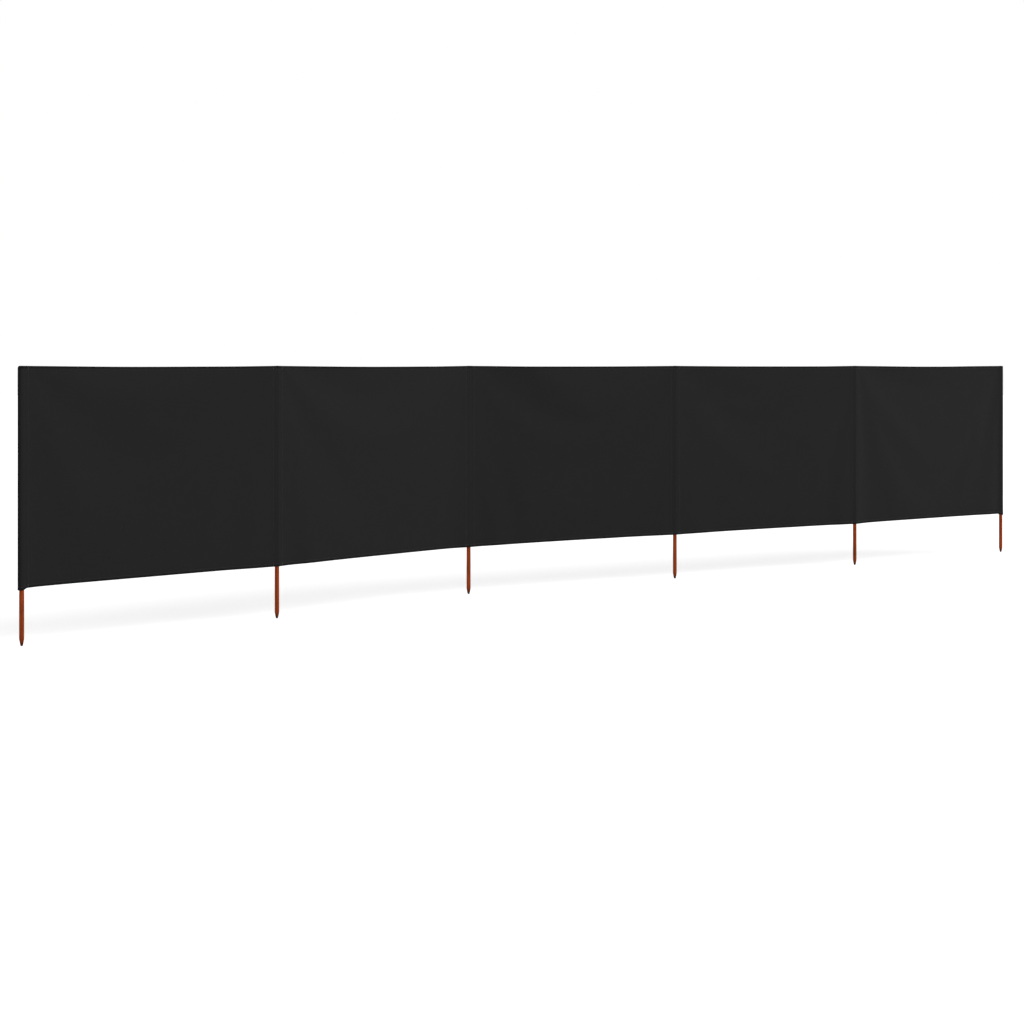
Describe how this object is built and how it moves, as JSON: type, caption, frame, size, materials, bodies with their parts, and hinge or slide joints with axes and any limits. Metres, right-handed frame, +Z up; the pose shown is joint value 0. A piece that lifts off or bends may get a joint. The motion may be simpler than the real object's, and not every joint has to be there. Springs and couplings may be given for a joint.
{
  "type": "beach windbreak",
  "caption": "Long low cloth windbreak on wooden stakes in sewn sleeves, for the beach. It runs on in equal bays and folds at every inner stake.",
  "frame": {"origin": "centre of the flat end of the first stake's point", "axes": "+Z up along the stakes, +X along the wall from the first stake to the last, +Y towards the side away from the shown face"},
  "size_m": [5.9985, 0.3015, 1.008],
  "materials": {
    "cloth": "black plain-woven polyester, matt",
    "hem": "the same cloth, turned twice and stitched",
    "sleeve": "the same cloth, sewn into a pocket round the stake",
    "wood": "round hardwood, stained reddish brown, satin"
  },
  "bodies": {
    "bay_1": {"stake_1": "wood", "sleeve_1": "sleeve", "panel_1": "cloth", "top_hem_1": "hem", "bottom_hem_1": "hem", "sleeve_2": "sleeve", "stake_2": "wood"},
    "bay_2": {"panel_2": "cloth", "top_hem_2": "hem", "bottom_hem_2": "hem", "sleeve_3": "sleeve", "stake_3": "wood"},
    "bay_3": {"panel_3": "cloth", "top_hem_3": "hem", "bottom_hem_3": "hem", "sleeve_4": "sleeve", "stake_4": "wood"},
    "bay_4": {"panel_4": "cloth", "top_hem_4": "hem", "bottom_hem_4": "hem", "sleeve_5": "sleeve", "stake_5": "wood"},
    "bay_5": {"panel_5": "cloth", "top_hem_5": "hem", "bottom_hem_5": "hem", "sleeve_6": "sleeve", "stake_6": "wood"}
  },
  "joints": [
    {"name": "fold_at_stake_2", "type": "hinge", "parent": "bay_1", "child": "bay_2", "pos_m": [1.19678, 0.08789, 0.608], "axis": [0, 0, 1], "range_deg": [-15, 145]},
    {"name": "fold_at_stake_3", "type": "hinge", "parent": "bay_2", "child": "bay_3", "pos_m": [2.38134, 0.27974, 0.608], "axis": [0, 0, -1], "range_deg": [-25, 135]},
    {"name": "fold_at_stake_4", "type": "hinge", "parent": "bay_3", "child": "bay_4", "pos_m": [3.5752, 0.15848, 0.608], "axis": [0, 0, 1], "range_deg": [-10, 150]},
    {"name": "fold_at_stake_5", "type": "hinge", "parent": "bay_4", "child": "bay_5", "pos_m": [4.76905, 0.03721, 0.608], "axis": [0, 0, -1], "range_deg": [-6, 154]}
  ]
}
